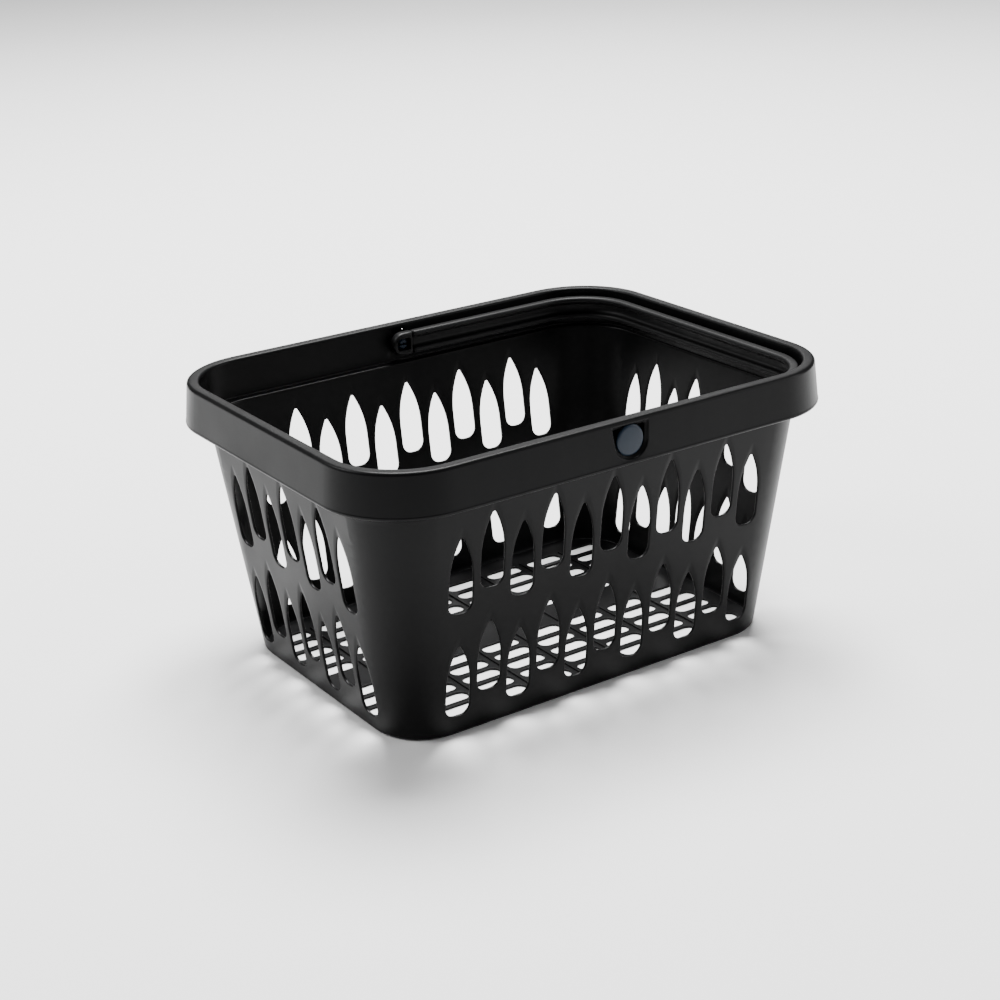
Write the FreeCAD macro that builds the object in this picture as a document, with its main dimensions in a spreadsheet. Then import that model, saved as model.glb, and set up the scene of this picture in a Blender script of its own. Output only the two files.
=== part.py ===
import FreeCAD, Part
import math
import os
import Sketcher
from FreeCAD import Placement, Rotation, Vector

# A supermarket hand basket: one tapered, slotted moulding with a hollow rim, and one swinging
# C-section bail handle held by two snap-in studs. Millimetres, +Z up, origin at the middle of the
# base, +X towards the end of the basket that the folded handle lies in, studs on the Y axis side.
# The basket moulding is one piece; it is divided here into floor, walls, corners, ledge and rim.

SIZES = {
    # rim: an inverted U around the mouth, with an outer skirt that flares as it goes down
    "rim_length": 440.0,
    "rim_width": 335.4,
    "rim_corner": 66.0,
    "rim_top": 232.5,
    "rim_land": 10.0,
    "rim_wall": 2.4,
    "skirt_drop": 35.0,
    "skirt_flare": 3.6,
    "rim_edge": 1.8,
    "rib_thick": 1.6,
    # ledge inside the rim, over the top of the walls
    "ledge_thick": 2.4,
    "rest_height": 5.8,
    "rest_depth": 4.0,
    "rest_length": 188.0,
    # tapered walls
    "mouth_length": 413.0,
    "mouth_width": 303.2,
    "mouth_corner": 53.0,
    "base_length": 365.4,
    "base_width": 255.8,
    "base_corner": 45.0,
    "base_edge": 3.0,
    "wall_thick": 2.4,
    "floor_thick": 2.0,
    # pointed-arch slots in the walls
    "slot_width": 21.0,
    "slot_pitch": 27.3,
    "slot_corner": 8.6,
    "slot_spring": 25.0,
    "lower_base": 16.6,
    "lower_tall": 59.9,
    "upper_base": 104.8,
    "upper_tall": 62.0,
    "slot_step": 15.0,
    "end_slot_drop": 3.2,
    "long_low_count": 6,
    "long_high_count": 5,
    "short_low_count": 4,
    "short_high_count": 3,
    # long slots in the floor
    "spine_thick": 1.8,
    "spine_tall": 1.1,
    "spine_reach": 104.0,
    "grid_length": 34.4,
    "grid_width": 13.4,
    "grid_corner": 6.4,
    "grid_pitch_x": 43.3,
    "grid_pitch_y": 18.4,
    "grid_first_y": 23.4,
    "grid_shift": -4.0,
    "grid_columns": 8,
    "grid_rows": 5,
    # where the walls are divided from the corners
    "split_x": 151.0,
    "split_y": 97.0,
    # handle: a C-section bail that lies just inside the rim
    "handle_gap": 2.6,
    "handle_deep": 8.0,
    "handle_tall": 20.0,
    "handle_web": 2.4,
    "handle_flange": 2.6,
    "hub_reach": 9.0,
    "hub_pocket_x": 13.0,
    "hub_pocket_z": 10.4,
    # pivot studs and their seats in the rim
    "pivot_top": 216.0,
    "stud_radius": 4.4,
    "stud_fit": 0.07,
    "head_radius": 12.3,
    "head_thick": 3.0,
    "head_dome": 1.2,
    "head_sink": -1.4,
    "head_gap": 0.3,
    "barb_lip": 0.6,
    "barb_long": 3.2,
    "split_width": 1.6,
    "split_deep": 7.5,
    "recess_radius": 15.0,
    "recess_wall": 2.0,
    "boss_radius": 8.0,
    "window_width": 12.0,
    "window_tall": 6.4,
    # how far cutting and dividing tools reach past the basket
    "far": 400.0,
}

# stiffening ribs inside the hollow rim: places along X on the long sides and along Y on the short
LONG_SIDE_RIBS = (-136.0, -84.0, 84.0, 136.0)
SHORT_SIDE_RIBS = (-78.0, -26.0, 26.0, 78.0)
QUARTER = math.pi / 2
Z_NORMAL = Vector(0, 0, 1)

doc = FreeCAD.newDocument("ShoppingBasket")
sheet = doc.addObject("Spreadsheet::Sheet", "Sizes")
for row, (alias, value) in enumerate(SIZES.items(), start=1):
    sheet.set("A%d" % row, alias)
    sheet.set("B%d" % row, str(value))
    sheet.setAlias("B%d" % row, alias)
doc.recompute()


# ---- shared helpers -------------------------------------------------------------------------

def new_body(name):
    body = doc.addObject("PartDesign::Body", name)
    body.Label = name
    return body


def plane_of(body, role):
    return next(item for item in body.Origin.OriginFeatures if item.Role == role)


def new_sketch(body, name, role, offset="0"):
    """A sketch on one of the body's own origin planes, moved along the plane's normal."""
    sketch = body.newObject("Sketcher::SketchObject", name)
    sketch.AttachmentSupport = [(plane_of(body, role), "")]
    sketch.MapMode = "FlatFace"
    sketch.setExpression("AttachmentOffset.Base.z", offset)
    return sketch


def bind(sketch, constraint, expression):
    """Add a dimension and tie it to an expression over the sheet."""
    index = sketch.addConstraint(constraint)
    sketch.setExpression("Constraints[%d]" % index, expression)


def rounded_rectangle(sketch, half_x, half_y, corner, centre_x="0", centre_y="0", start=(200, 150, 50)):
    """Four sides and four tangent corner arcs. Half sizes, corner and centre are expressions."""
    hx, hy, r = start
    first = sketch.GeometryCount
    ix, iy = hx - r, hy - r
    shapes = (
        Part.LineSegment(Vector(hx, -iy, 0), Vector(hx, iy, 0)),
        Part.ArcOfCircle(Part.Circle(Vector(ix, iy, 0), Z_NORMAL, r), 0, QUARTER),
        Part.LineSegment(Vector(ix, hy, 0), Vector(-ix, hy, 0)),
        Part.ArcOfCircle(Part.Circle(Vector(-ix, iy, 0), Z_NORMAL, r), QUARTER, 2 * QUARTER),
        Part.LineSegment(Vector(-hx, iy, 0), Vector(-hx, -iy, 0)),
        Part.ArcOfCircle(Part.Circle(Vector(-ix, -iy, 0), Z_NORMAL, r), 2 * QUARTER, 3 * QUARTER),
        Part.LineSegment(Vector(-ix, -hy, 0), Vector(ix, -hy, 0)),
        Part.ArcOfCircle(Part.Circle(Vector(ix, -iy, 0), Z_NORMAL, r), 3 * QUARTER, 4 * QUARTER),
    )
    sketch.addGeometry(list(shapes), False)
    for step in range(8):
        here, after = first + step, first + (step + 1) % 8
        sketch.addConstraint(Sketcher.Constraint("Tangent", here, 2, after, 1))
    for step, way in ((0, "Vertical"), (2, "Horizontal"), (4, "Vertical"), (6, "Horizontal")):
        sketch.addConstraint(Sketcher.Constraint(way, first + step))
    for step in (3, 5, 7):
        sketch.addConstraint(Sketcher.Constraint("Equal", first + 1, first + step))
    bind(sketch, Sketcher.Constraint("Radius", first + 1, r), corner)
    sides = (
        ("DistanceX", 0, hx, "(%s) + (%s)" % (centre_x, half_x)),
        ("DistanceY", 2, hy, "(%s) + (%s)" % (centre_y, half_y)),
        ("DistanceX", 4, -hx, "(%s) - (%s)" % (centre_x, half_x)),
        ("DistanceY", 6, -hy, "(%s) - (%s)" % (centre_y, half_y)),
    )
    for way, step, value, expression in sides:
        bind(sketch, Sketcher.Constraint(way, -1, 1, first + step, 1, value), expression)


def inset_outline(sketch, inset):
    """The rim's top outline, moved inwards by an expression (outwards if it is negative)."""
    rounded_rectangle(
        sketch,
        "Sizes.rim_length / 2 - (%s)" % inset,
        "Sizes.rim_width / 2 - (%s)" % inset,
        "Sizes.rim_corner - (%s)" % inset,
    )


def loft_between(body, kind, name, *sketches):
    """A straight-sided loft through the sketches, lowest first."""
    loft = body.newObject("PartDesign::" + kind, name)
    loft.Profile = sketches[0]
    loft.Sections = list(sketches[1:])
    loft.Ruled = True


def pad(body, name, sketch, length, symmetric=False):
    feature = body.newObject("PartDesign::Pad", name)
    feature.Profile = sketch
    feature.setExpression("Length", length)
    if symmetric:
        feature.SideType = "Symmetric"
    return feature


def pocket(body, name, sketch, length=None, symmetric=False, reverse=False):
    """A pocket of a stated length, or through everything when no length is given."""
    feature = body.newObject("PartDesign::Pocket", name)
    feature.Profile = sketch
    if symmetric:
        feature.SideType = "Symmetric"
    if length is None:
        feature.Type = "ThroughAll"
    else:
        feature.setExpression("Length", length)
    feature.Reversed = reverse
    return feature


def block(name, low, size):
    """A Part::Box whose low corner and size are three expressions each."""
    box = doc.addObject("Part::Box", name)
    for axis, expression in zip("xyz", low):
        box.setExpression("Placement.Base." + axis, expression)
    for side, expression in zip(("Length", "Width", "Height"), size):
        box.setExpression(side, expression)
    return box


def boolean(kind, name, base, tool):
    """A Part::Cut or Part::Common of two objects."""
    result = doc.addObject("Part::" + kind, name)
    result.Base = base
    result.Tool = tool
    result.Label = name
    return result


def fuse(name, shapes):
    result = doc.addObject("Part::MultiFuse", name)
    result.Shapes = list(shapes)
    return result


# ---- basket cup: tapered walls and floor, with every slot -------------------------------------

def arch_slot(sketch, centre, base, tall):
    """A slot with a rounded-square foot, straight sides and a pointed top of two tangent arcs."""
    half = SIZES["slot_width"] / 2
    r = SIZES["slot_corner"]
    spring = SIZES["slot_spring"]
    peak = SIZES["lower_tall"]
    rise = peak - spring
    big = (rise * rise + half * half) / (2 * half)
    first = sketch.GeometryCount
    lean = math.asin(rise / big)
    shapes = (
        Part.LineSegment(Vector(-half + r, 0, 0), Vector(half - r, 0, 0)),
        Part.ArcOfCircle(Part.Circle(Vector(half - r, r, 0), Z_NORMAL, r), 3 * QUARTER, 4 * QUARTER),
        Part.LineSegment(Vector(half, r, 0), Vector(half, spring, 0)),
        Part.ArcOfCircle(Part.Circle(Vector(half - big, spring, 0), Z_NORMAL, big), 0, lean),
        Part.ArcOfCircle(
            Part.Circle(Vector(big - half, spring, 0), Z_NORMAL, big), 2 * QUARTER - lean, 2 * QUARTER
        ),
        Part.LineSegment(Vector(-half, spring, 0), Vector(-half, r, 0)),
        Part.ArcOfCircle(Part.Circle(Vector(-half + r, r, 0), Z_NORMAL, r), 2 * QUARTER, 3 * QUARTER),
    )
    sketch.addGeometry(list(shapes), False)
    foot, right_foot, right, right_arc, left_arc, left, left_foot = range(first, first + 7)
    for here, after in ((foot, right_foot), (right_foot, right), (right, right_arc), (left_arc, left),
                        (left, left_foot), (left_foot, foot)):
        sketch.addConstraint(Sketcher.Constraint("Tangent", here, 2, after, 1))
    sketch.addConstraint(Sketcher.Constraint("Coincident", right_arc, 2, left_arc, 1))
    sketch.addConstraint(Sketcher.Constraint("Horizontal", foot))
    sketch.addConstraint(Sketcher.Constraint("Vertical", right))
    sketch.addConstraint(Sketcher.Constraint("Vertical", left))
    sketch.addConstraint(Sketcher.Constraint("Equal", right_foot, left_foot))
    sketch.addConstraint(Sketcher.Constraint("Equal", right_arc, left_arc))
    sketch.addConstraint(Sketcher.Constraint("Horizontal", right, 2, left, 1))
    middle, floor_line = "(%s)" % centre, "(%s)" % base
    bind(sketch, Sketcher.Constraint("Radius", right_foot, r), "Sizes.slot_corner")
    places = (
        ("DistanceX", right, 1, half, middle + " + Sizes.slot_width / 2"),
        ("DistanceX", left, 1, -half, middle + " - Sizes.slot_width / 2"),
        ("DistanceY", foot, 1, 0, floor_line),
        ("DistanceY", right, 2, spring, floor_line + " + Sizes.slot_spring"),
        ("DistanceY", right_arc, 2, peak, floor_line + " + (%s)" % tall),
    )
    for way, line, end, value, expression in places:
        bind(sketch, Sketcher.Constraint(way, -1, 1, line, end, value), expression)


def slot_set(body, name, plane, direction, count, lift, drop):
    """One height of slots, lower and upper row together, cut through both opposite walls."""
    sketch = new_sketch(body, name + "Sketch", plane)
    start = "-(Sizes.%s - 1) * Sizes.slot_pitch" % count
    arch_slot(sketch, start, "Sizes.lower_base + %s - %s" % (lift, drop), "Sizes.lower_tall")
    arch_slot(sketch, start, "Sizes.upper_base + %s - %s" % (lift, drop), "Sizes.upper_tall")
    cut = pocket(body, name, sketch, symmetric=True)
    pattern = body.newObject("PartDesign::LinearPattern", name + "Pattern")
    pattern.Originals = [cut]
    pattern.Direction = (sketch, [direction])
    pattern.setExpression("Length", "2 * (Sizes.%s - 1) * Sizes.slot_pitch" % count)
    pattern.Occurrences = SIZES[count]
    body.Tip = pattern


def tub_outline(sketch, height, inset):
    """The tapered tub's outer outline at a height, moved inwards by an inset."""
    rise = "(%s) / (Sizes.rim_top - Sizes.skirt_drop)" % height
    grown = "Sizes.base_%s / 2 + (Sizes.mouth_%s - Sizes.base_%s) / 2 * " + rise
    corner = "Sizes.base_corner + (Sizes.mouth_corner - Sizes.base_corner) * " + rise
    half_x = grown % ("length", "length", "length")
    half_y = grown % ("width", "width", "width")
    moved = "%s - (%s)"
    rounded_rectangle(sketch, moved % (half_x, inset), moved % (half_y, inset), moved % (corner, inset))


def make_cup():
    """The whole tapered tub up to the ledge's underside, before it is divided into nodes."""
    body = new_body("basket_cup")
    ledge_under = "Sizes.rim_top - Sizes.skirt_drop"
    foot = new_sketch(body, "FootOutline", "XY_Plane")
    tub_outline(foot, "0", "Sizes.base_edge * 0.6")
    base = new_sketch(body, "BaseOutline", "XY_Plane", "Sizes.base_edge")
    tub_outline(base, "Sizes.base_edge", "0")
    mouth = new_sketch(body, "MouthOutline", "XY_Plane", ledge_under)
    tub_outline(mouth, ledge_under, "0")
    loft_between(body, "AdditiveLoft", "OuterTaper", foot, base, mouth)
    inner_base = new_sketch(body, "InnerBase", "XY_Plane", "Sizes.floor_thick")
    tub_outline(inner_base, "Sizes.floor_thick", "Sizes.wall_thick")
    inner_mouth = new_sketch(body, "InnerMouth", "XY_Plane", ledge_under)
    tub_outline(inner_mouth, ledge_under, "Sizes.wall_thick")
    loft_between(body, "SubtractiveLoft", "Inside", inner_base, inner_mouth)
    for name, plane, low, high, drop in (
        ("Long", "XZ_Plane", "long_low_count", "long_high_count", "0"),
        ("Short", "YZ_Plane", "short_low_count", "short_high_count", "Sizes.end_slot_drop"),
    ):
        slot_set(body, name + "LowSlots", plane, "H_Axis", low, "0", drop)
        slot_set(body, name + "HighSlots", plane, "H_Axis", high, "Sizes.slot_step", drop)
    return body


def make_grid_tool():
    """The floor slots as one set of upright prisms: equal columns, and rows either side of a spine."""
    body = new_body("grid_tool")
    sketch = new_sketch(body, "GridSketch", "XY_Plane", "-Sizes.floor_thick")
    first_column = "Sizes.grid_shift - (Sizes.grid_columns - 1) / 2 * Sizes.grid_pitch_x"
    last_row = "(Sizes.grid_first_y + (Sizes.grid_rows - 1) * Sizes.grid_pitch_y)"
    for row in ("Sizes.grid_first_y", "-" + last_row):
        rounded_rectangle(
            sketch,
            "Sizes.grid_length / 2",
            "Sizes.grid_width / 2",
            "Sizes.grid_corner",
            first_column,
            row,
            (19, 8, 7),
        )
    cut = pad(body, "GridSlots", sketch, "3 * Sizes.floor_thick")
    rows = body.newObject("PartDesign::LinearPattern", "GridPattern")
    rows.Originals = [cut]
    rows.Direction = (sketch, ["H_Axis"])
    rows.setExpression("Length", "(Sizes.grid_columns - 1) * Sizes.grid_pitch_x")
    rows.Occurrences = SIZES["grid_columns"]
    rows.Direction2 = (sketch, ["V_Axis"])
    rows.setExpression("Length2", "(Sizes.grid_rows - 1) * Sizes.grid_pitch_y")
    rows.Occurrences2 = SIZES["grid_rows"]
    body.Tip = rows
    return body


def make_floor(cup, grid):
    """The floor plate, out to the outer face of the walls, with a low rib between columns of slots."""
    low = ("-Sizes.far", "-Sizes.far", "-Sizes.floor_thick")
    slab = block("FloorSlab", low, ("2 * Sizes.far", "2 * Sizes.far", "2 * Sizes.floor_thick"))
    plate = boolean("Common", "floor_plate", cup, slab)
    slotted = boolean("Cut", "floor_slotted", plate, grid)
    ribs = []
    for index in range(int(SIZES["grid_columns"]) - 1):
        middle = "Sizes.grid_shift + (%d - Sizes.grid_columns / 2 + 1) * Sizes.grid_pitch_x" % index
        low = (middle + " - Sizes.spine_thick / 2", "-Sizes.spine_reach", "Sizes.floor_thick / 2")
        size = ("Sizes.spine_thick", "2 * Sizes.spine_reach", "Sizes.floor_thick / 2 + Sizes.spine_tall")
        ribs.append(block("FloorRib%d" % index, low, size))
    floor = fuse("floor_grille", [slotted] + ribs)
    floor.Label = "floor_grille"
    return floor


def make_walls(cup):
    """Four slotted walls and four plain corners, divided by upright planes."""
    nodes = []
    tall = "Sizes.rim_top - Sizes.skirt_drop - Sizes.floor_thick"
    x_ranges = {
        "left": ("-Sizes.far", "Sizes.far - Sizes.split_x"),
        "": ("-Sizes.split_x", "2 * Sizes.split_x"),
        "right": ("Sizes.split_x", "Sizes.far"),
    }
    y_ranges = {
        "front": ("-Sizes.far", "Sizes.far - Sizes.split_y"),
        "": ("-Sizes.split_y", "2 * Sizes.split_y"),
        "rear": ("Sizes.split_y", "Sizes.far"),
    }
    for y_name, (y_low, y_size) in y_ranges.items():
        for x_name, (x_low, x_size) in x_ranges.items():
            if not x_name and not y_name:
                continue
            kind = "corner" if x_name and y_name else "wall"
            name = "_".join(word for word in (y_name, x_name, kind) if word)
            region = block(name + "_region", (x_low, y_low, "Sizes.floor_thick"), (x_size, y_size, tall))
            nodes.append(boolean("Common", name, cup, region))
    return nodes


# ---- ledge and rim ----------------------------------------------------------------------------

def make_ledge():
    """A flat shelf from the rim's inner face to the inside of the walls, with a rest rib at each end."""
    body = new_body("ledge")
    under = "Sizes.rim_top - Sizes.skirt_drop"
    outline = new_sketch(body, "LedgeOutline", "XY_Plane", under)
    inset_outline(outline, "Sizes.rim_land")
    pad(body, "Shelf", outline, "Sizes.ledge_thick")
    mouth = new_sketch(body, "LedgeMouth", "XY_Plane", under)
    rounded_rectangle(
        mouth,
        "Sizes.mouth_length / 2 - Sizes.wall_thick",
        "Sizes.mouth_width / 2 - Sizes.wall_thick",
        "Sizes.mouth_corner - Sizes.wall_thick",
    )
    body.Tip = pocket(body, "LedgeOpening", mouth, symmetric=True)
    seat = "Sizes.rim_top - Sizes.skirt_drop + Sizes.ledge_thick"
    ribs = []
    for name, low_x in (
        ("rest_rib_left", "-(Sizes.rim_length / 2 - Sizes.rim_land)"),
        ("rest_rib_right", "Sizes.rim_length / 2 - Sizes.rim_land - Sizes.rest_depth"),
    ):
        size = ("Sizes.rest_depth", "Sizes.rest_length", "Sizes.rest_height")
        ribs.append(block(name, (low_x, "-Sizes.rest_length / 2", seat), size))
    ledge = fuse("handle_ledge", [body] + ribs)
    ledge.Label = "handle_ledge"
    return ledge


def u_outline(sketch, radius):
    """A half circle under the pivot with straight sides up to the underside of the rim's land."""
    r = SIZES["recess_radius"]
    first = sketch.GeometryCount
    top = SIZES["rim_top"] - SIZES["rim_wall"]
    z = SIZES["pivot_top"]
    arc = Part.ArcOfCircle(Part.Circle(Vector(0, z, 0), Z_NORMAL, r), 2 * QUARTER, 4 * QUARTER)
    shapes = (
        arc,
        Part.LineSegment(Vector(r, z, 0), Vector(r, top, 0)),
        Part.LineSegment(Vector(r, top, 0), Vector(-r, top, 0)),
        Part.LineSegment(Vector(-r, top, 0), Vector(-r, z, 0)),
    )
    sketch.addGeometry(list(shapes), False)
    half_circle, right, lid, left = range(first, first + 4)
    sketch.addConstraint(Sketcher.Constraint("Tangent", half_circle, 2, right, 1))
    sketch.addConstraint(Sketcher.Constraint("Tangent", left, 2, half_circle, 1))
    sketch.addConstraint(Sketcher.Constraint("Coincident", right, 2, lid, 1))
    sketch.addConstraint(Sketcher.Constraint("Coincident", lid, 2, left, 1))
    sketch.addConstraint(Sketcher.Constraint("Vertical", right))
    sketch.addConstraint(Sketcher.Constraint("Vertical", left))
    sketch.addConstraint(Sketcher.Constraint("Horizontal", lid))
    sketch.addConstraint(Sketcher.Constraint("PointOnObject", half_circle, 3, -2))
    bind(sketch, Sketcher.Constraint("Radius", half_circle, r), radius)
    bind(sketch, Sketcher.Constraint("DistanceY", -1, 1, half_circle, 3, z), "Sizes.pivot_top")
    bind(sketch, Sketcher.Constraint("DistanceY", -1, 1, lid, 1, top), "Sizes.rim_top - Sizes.rim_wall")


def stud_cylinder(name, radius, start, length):
    """A cylinder on the pivot axis, from start to start + length along Y."""
    cylinder = doc.addObject("Part::Cylinder", name)
    cylinder.Placement = Placement(Vector(0, 0, 0), Rotation(Vector(1, 0, 0), -90))
    cylinder.setExpression("Radius", radius)
    cylinder.setExpression("Height", length)
    cylinder.setExpression("Placement.Base.y", start)
    cylinder.setExpression("Placement.Base.z", "Sizes.pivot_top")
    return cylinder


def make_rim():
    """The hollow rim with its stiffening ribs, and a U-shaped recess with a boss for each stud."""
    under = "Sizes.rim_top - Sizes.skirt_drop"
    land_under = "Sizes.rim_top - Sizes.rim_wall"
    shell = new_body("rim_shell")
    low = new_sketch(shell, "SkirtFoot", "XY_Plane", under)
    inset_outline(low, "-Sizes.skirt_flare")
    high = new_sketch(shell, "RimTop", "XY_Plane", "Sizes.rim_top")
    inset_outline(high, "0")
    loft_between(shell, "AdditiveLoft", "SkirtFace", low, high)

    hollow = new_body("rim_hollow")
    low = new_sketch(hollow, "HollowFoot", "XY_Plane", under)
    inset_outline(low, "Sizes.rim_wall - Sizes.skirt_flare")
    high = new_sketch(hollow, "HollowTop", "XY_Plane", land_under)
    flare_left = "Sizes.skirt_flare * Sizes.rim_wall / Sizes.skirt_drop"
    inset_outline(high, "Sizes.rim_wall - " + flare_left)
    loft_between(hollow, "AdditiveLoft", "HollowTaper", low, high)

    inner_wall = new_body("rim_inner_wall")
    ring = new_sketch(inner_wall, "InnerWallOutline", "XY_Plane", under)
    inset_outline(ring, "Sizes.rim_land - Sizes.rim_wall")
    pad(inner_wall, "InnerWall", ring, "Sizes.skirt_drop")

    pivot_block = new_body("pivot_block")
    outline = new_sketch(pivot_block, "PivotBlockOutline", "XZ_Plane")
    u_outline(outline, "Sizes.recess_radius + Sizes.recess_wall")
    pad(pivot_block, "PivotBlock", outline, "2 * Sizes.far", symmetric=True)

    reach = "2 * Sizes.far"
    back = "-Sizes.far"
    kept = [inner_wall, pivot_block]
    for index, place in enumerate(LONG_SIDE_RIBS):
        low_corner = ("%g - Sizes.rib_thick / 2" % place, back, under)
        kept.append(block("LongRib%d" % index, low_corner, ("Sizes.rib_thick", reach, "Sizes.skirt_drop")))
    for index, place in enumerate(SHORT_SIDE_RIBS):
        low_corner = (back, "%g - Sizes.rib_thick / 2" % place, under)
        kept.append(block("ShortRib%d" % index, low_corner, (reach, "Sizes.rib_thick", "Sizes.skirt_drop")))
    channel = boolean("Cut", "rim_channel", hollow, fuse("rim_kept", kept))

    mouth = new_body("rim_mouth")
    outline = new_sketch(mouth, "RimMouthOutline", "XY_Plane", under + " - 1")
    inset_outline(outline, "Sizes.rim_land")
    pad(mouth, "RimMouth", outline, "Sizes.skirt_drop + 2")

    recess = new_body("stud_recess")
    outline = new_sketch(recess, "RecessOutline", "XZ_Plane")
    u_outline(outline, "Sizes.recess_radius")
    pad(recess, "Recess", outline, "Sizes.far", symmetric=True)
    wall_face = "(Sizes.rim_width / 2 - Sizes.rim_land + Sizes.rim_wall)"
    boss_face = "(Sizes.rim_width / 2 - Sizes.head_sink - Sizes.head_thick - Sizes.head_gap)"
    inside = block(
        "InsideInnerWall",
        (back, "-" + wall_face, "0"),
        (reach, "2 * " + wall_face, "Sizes.far"),
    )
    boss = stud_cylinder("Boss", "Sizes.boss_radius", "-" + boss_face, "2 * " + boss_face)
    recess_cut = boolean("Cut", "recess_cut", recess, fuse("recess_kept", [inside, boss]))

    bore = stud_cylinder("Bore", "Sizes.stud_radius + Sizes.stud_fit", back, reach)
    window = block(
        "Window",
        ("-Sizes.window_width / 2", back, land_under + " - Sizes.window_tall"),
        ("Sizes.window_width", reach, "Sizes.window_tall"),
    )
    cuts = fuse("rim_cuts", [channel, mouth, recess_cut, bore, window])
    sharp = boolean("Cut", "rim_sharp", shell, cuts)
    doc.recompute()
    edges = []
    for index, edge in enumerate(sharp.Shape.Edges, start=1):
        box = edge.BoundBox
        if box.ZMin > SIZES["rim_top"] - 0.01:
            edges.append((index, SIZES["rim_edge"], SIZES["rim_edge"]))
    rim = doc.addObject("Part::Fillet", "rim")
    rim.Base = sharp
    rim.Edges = edges
    rim.Label = "rim"
    return rim


# ---- handle -----------------------------------------------------------------------------------

def make_handle():
    """One bail: a C-section that opens inwards along three sides, with a boxed hub at each end."""
    body = new_body("handle")
    face = "Sizes.rim_land + Sizes.handle_gap"
    bottom = "Sizes.pivot_top - Sizes.handle_tall / 2"
    outline = new_sketch(body, "HandleOutline", "XY_Plane", bottom)
    inset_outline(outline, face)
    pad(body, "Bar", outline, "Sizes.handle_tall")
    groove = new_sketch(body, "GrooveOutline", "XY_Plane", bottom + " + Sizes.handle_flange")
    inset_outline(groove, face + " + Sizes.handle_web")
    pocket(body, "Groove", groove, "Sizes.handle_tall - 2 * Sizes.handle_flange", reverse=True)
    half = new_sketch(body, "UnusedHalf", "XY_Plane")
    rectangle(half, "-Sizes.far", "0", "-Sizes.far", "Sizes.far")
    body.Tip = pocket(body, "OneSideOnly", half, symmetric=True)
    hub = new_sketch(body, "HubOutline", "XZ_Plane")
    d_outline(hub)
    hub_width = "2 * (Sizes.rim_width / 2 - %s)" % face.replace("+", "-")
    pad(body, "Hubs", hub, hub_width, symmetric=True)
    inside = new_sketch(body, "InsideOutline", "XY_Plane")
    inset_outline(inside, face + " + Sizes.handle_deep")
    pocket(body, "BetweenArms", inside, symmetric=True)
    seat = new_sketch(body, "HubPocketOutline", "XZ_Plane")
    rectangle(seat, "-Sizes.hub_pocket_x / 2", "Sizes.hub_pocket_x / 2",
              "Sizes.pivot_top - Sizes.hub_pocket_z / 2", "Sizes.pivot_top + Sizes.hub_pocket_z / 2")
    pocket(body, "HubPockets", seat, hub_width + " - 2 * Sizes.handle_web", symmetric=True)
    hole = new_sketch(body, "HubBoreOutline", "XZ_Plane")
    circle = Part.Circle(Vector(0, SIZES["pivot_top"], 0), Vector(0, 0, 1), SIZES["stud_radius"])
    index = hole.addGeometry(circle, False)
    hole.addConstraint(Sketcher.Constraint("PointOnObject", index, 3, -2))
    bind(hole, Sketcher.Constraint("DistanceY", -1, 1, index, 3, SIZES["pivot_top"]), "Sizes.pivot_top")
    bore_radius = "Sizes.stud_radius + Sizes.stud_fit"
    bind(hole, Sketcher.Constraint("Radius", index, SIZES["stud_radius"]), bore_radius)
    body.Tip = pocket(body, "HubBores", hole, symmetric=True)
    return body


def rectangle(sketch, low_x, high_x, low_y, high_y):
    """A plain rectangle between four coordinates given as expressions."""
    first = sketch.GeometryCount
    corners = (Vector(-1, -1, 0), Vector(1, -1, 0), Vector(1, 1, 0), Vector(-1, 1, 0))
    sides = [Part.LineSegment(corners[i], corners[(i + 1) % 4]) for i in range(4)]
    sketch.addGeometry(sides, False)
    for step in range(4):
        after = first + (step + 1) % 4
        sketch.addConstraint(Sketcher.Constraint("Coincident", first + step, 2, after, 1))
    for step, way in enumerate(("Horizontal", "Vertical", "Horizontal", "Vertical")):
        sketch.addConstraint(Sketcher.Constraint(way, first + step))
    bind(sketch, Sketcher.Constraint("DistanceX", -1, 1, first, 1, -1), low_x)
    bind(sketch, Sketcher.Constraint("DistanceX", -1, 1, first, 2, 1), high_x)
    bind(sketch, Sketcher.Constraint("DistanceY", -1, 1, first, 1, -1), low_y)
    bind(sketch, Sketcher.Constraint("DistanceY", -1, 1, first + 2, 1, 1), high_y)


def d_outline(sketch):
    """The hub's side view: a half circle about the pivot, closed by a square block."""
    r = SIZES["handle_tall"] / 2
    z = SIZES["pivot_top"]
    reach = SIZES["hub_reach"]
    shapes = (
        Part.ArcOfCircle(Part.Circle(Vector(0, z, 0), Z_NORMAL, r), QUARTER, 3 * QUARTER),
        Part.LineSegment(Vector(0, z - r, 0), Vector(reach, z - r, 0)),
        Part.LineSegment(Vector(reach, z - r, 0), Vector(reach, z + r, 0)),
        Part.LineSegment(Vector(reach, z + r, 0), Vector(0, z + r, 0)),
    )
    sketch.addGeometry(list(shapes), False)
    sketch.addConstraint(Sketcher.Constraint("Tangent", 0, 2, 1, 1))
    sketch.addConstraint(Sketcher.Constraint("Coincident", 1, 2, 2, 1))
    sketch.addConstraint(Sketcher.Constraint("Coincident", 2, 2, 3, 1))
    sketch.addConstraint(Sketcher.Constraint("Tangent", 3, 2, 0, 1))
    sketch.addConstraint(Sketcher.Constraint("Horizontal", 1))
    sketch.addConstraint(Sketcher.Constraint("Vertical", 2))
    sketch.addConstraint(Sketcher.Constraint("Horizontal", 3))
    sketch.addConstraint(Sketcher.Constraint("PointOnObject", 0, 3, -2))
    bind(sketch, Sketcher.Constraint("DistanceY", -1, 1, 0, 3, z), "Sizes.pivot_top")
    bind(sketch, Sketcher.Constraint("Radius", 0, r), "Sizes.handle_tall / 2")
    bind(sketch, Sketcher.Constraint("DistanceX", -1, 1, 2, 1, reach), "Sizes.hub_reach")


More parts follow.
